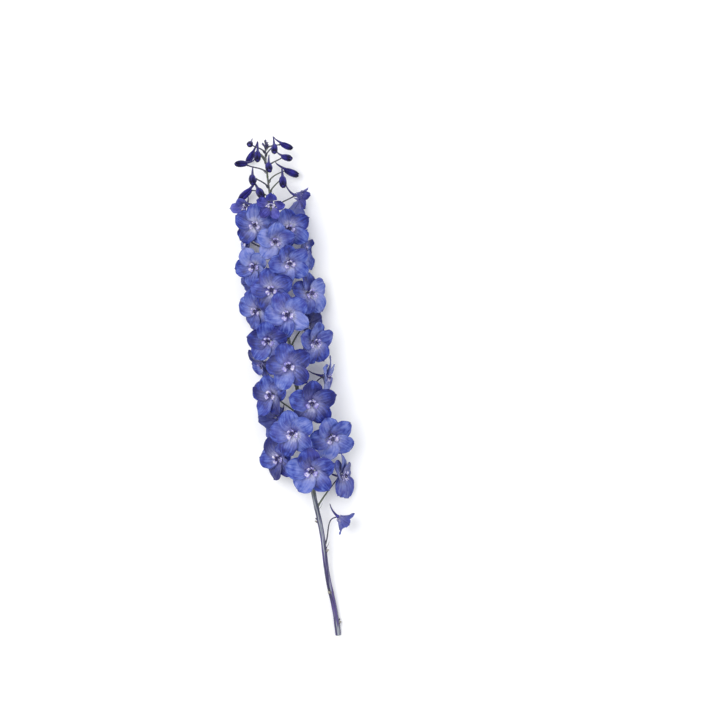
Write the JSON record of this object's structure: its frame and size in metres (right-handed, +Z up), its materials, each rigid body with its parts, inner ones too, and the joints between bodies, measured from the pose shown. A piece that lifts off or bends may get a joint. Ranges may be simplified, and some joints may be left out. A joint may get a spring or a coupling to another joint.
{
  "type": "delphinium flower spike",
  "caption": "Cut delphinium spike lying down: bare stem, stalked blue flowers with spurs and pale centres, nodding buds at the tip.",
  "frame": {"origin": "middle of the spike's outline seen from above, on the surface that it lies on", "axes": "+Y along the stem from its cut end to the buds at the tip, +Z up from the surface, +X to the right seen from above with the tip away"},
  "size_m": [0.1098, 0.5796, 0.078],
  "materials": {
    "stem": "fresh green stem, purple towards the cut end, faintly ribbed",
    "sepals": "soft matte petal, cobalt to violet blue with paler veins",
    "young_sepals": "soft matte petal, deep violet blue",
    "bee": "soft matte petal, near white with lilac edges",
    "bud": "soft matte bud, dark violet"
  },
  "bodies": {
    "root": {"stem": "stem", "side_flower": "young_sepals", "flower_01": "sepals", "flower_02": "sepals", "flower_03": "sepals", "flower_04": "sepals", "flower_05": "sepals", "flower_06": "sepals", "flower_07": "sepals", "flower_08": "sepals", "flower_09": "sepals", "flower_10": "sepals", "flower_11": "sepals", "flower_12": "sepals", "flower_13": "sepals", "flower_14": "sepals", "flower_15": "sepals", "flower_16": "sepals", "flower_17": "sepals", "flower_18": "sepals", "flower_19": "sepals", "flower_20": "sepals", "flower_21": "sepals", "flower_22": "sepals", "flower_23": "sepals", "flower_24": "sepals", "flower_25": "sepals", "flower_26": "sepals", "flower_27": "sepals", "bee_01": "bee", "bee_02": "bee", "bee_03": "bee", "bee_04": "bee", "bee_05": "bee", "bee_06": "bee", "bee_07": "bee", "bee_08": "bee", "bee_09": "bee", "bee_10": "bee", "bee_11": "bee", "bee_12": "bee", "bee_13": "bee", "bee_14": "bee", "bee_15": "bee", "bee_16": "bee", "bee_17": "bee", "bee_18": "bee", "bee_19": "bee", "bee_20": "bee", "bee_21": "bee", "bee_22": "bee", "bee_23": "bee", "bee_24": "bee", "bee_25": "bee", "bee_26": "bee", "bee_27": "bee", "opening_01": "young_sepals", "opening_02": "young_sepals", "opening_03": "young_sepals", "bud_01": "bud"}
  },
  "joints": []
}
